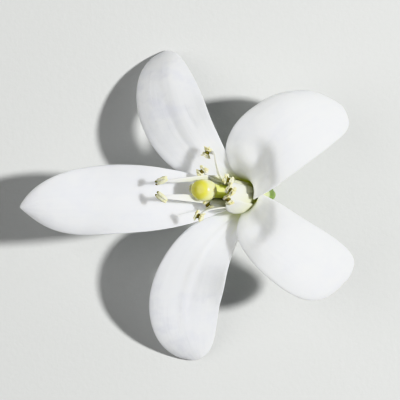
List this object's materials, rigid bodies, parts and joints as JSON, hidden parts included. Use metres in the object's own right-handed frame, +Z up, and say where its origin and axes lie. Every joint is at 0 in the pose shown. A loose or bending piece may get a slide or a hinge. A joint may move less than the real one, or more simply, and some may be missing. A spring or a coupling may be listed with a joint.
{
  "type": "orange jasmine flower",
  "caption": "Single open white star-shaped flower of the citrus family with a yellow stigma, picked with a short stalk and resting face up on its petal tips.",
  "frame": {"origin": "on the surface under the middle of the flower's outline", "axes": "+Z up from the surface the flower rests on, -X the way the flower's face leans and its longest petal points, +Y towards the upper left petal"},
  "size_m": [0.028, 0.0266, 0.0104],
  "materials": {
    "petal": "waxy translucent white petal with faint lengthwise veins, yellow-green at the claw",
    "green_tissue": "fresh green stalk and sepals dotted with oil glands",
    "pistil": "moist yellow stigma with a pale cream rim on a yellow-green style",
    "stamens": "translucent white filaments with cream anthers edged brown"
  },
  "bodies": {
    "root": {"petal_left": "petal", "petal_upper_left": "petal", "petal_upper_right": "petal", "petal_lower_right": "petal", "petal_lower_left": "petal", "pedicel_and_calyx": "green_tissue", "pistil": "pistil", "stamens": "stamens"}
  },
  "joints": []
}
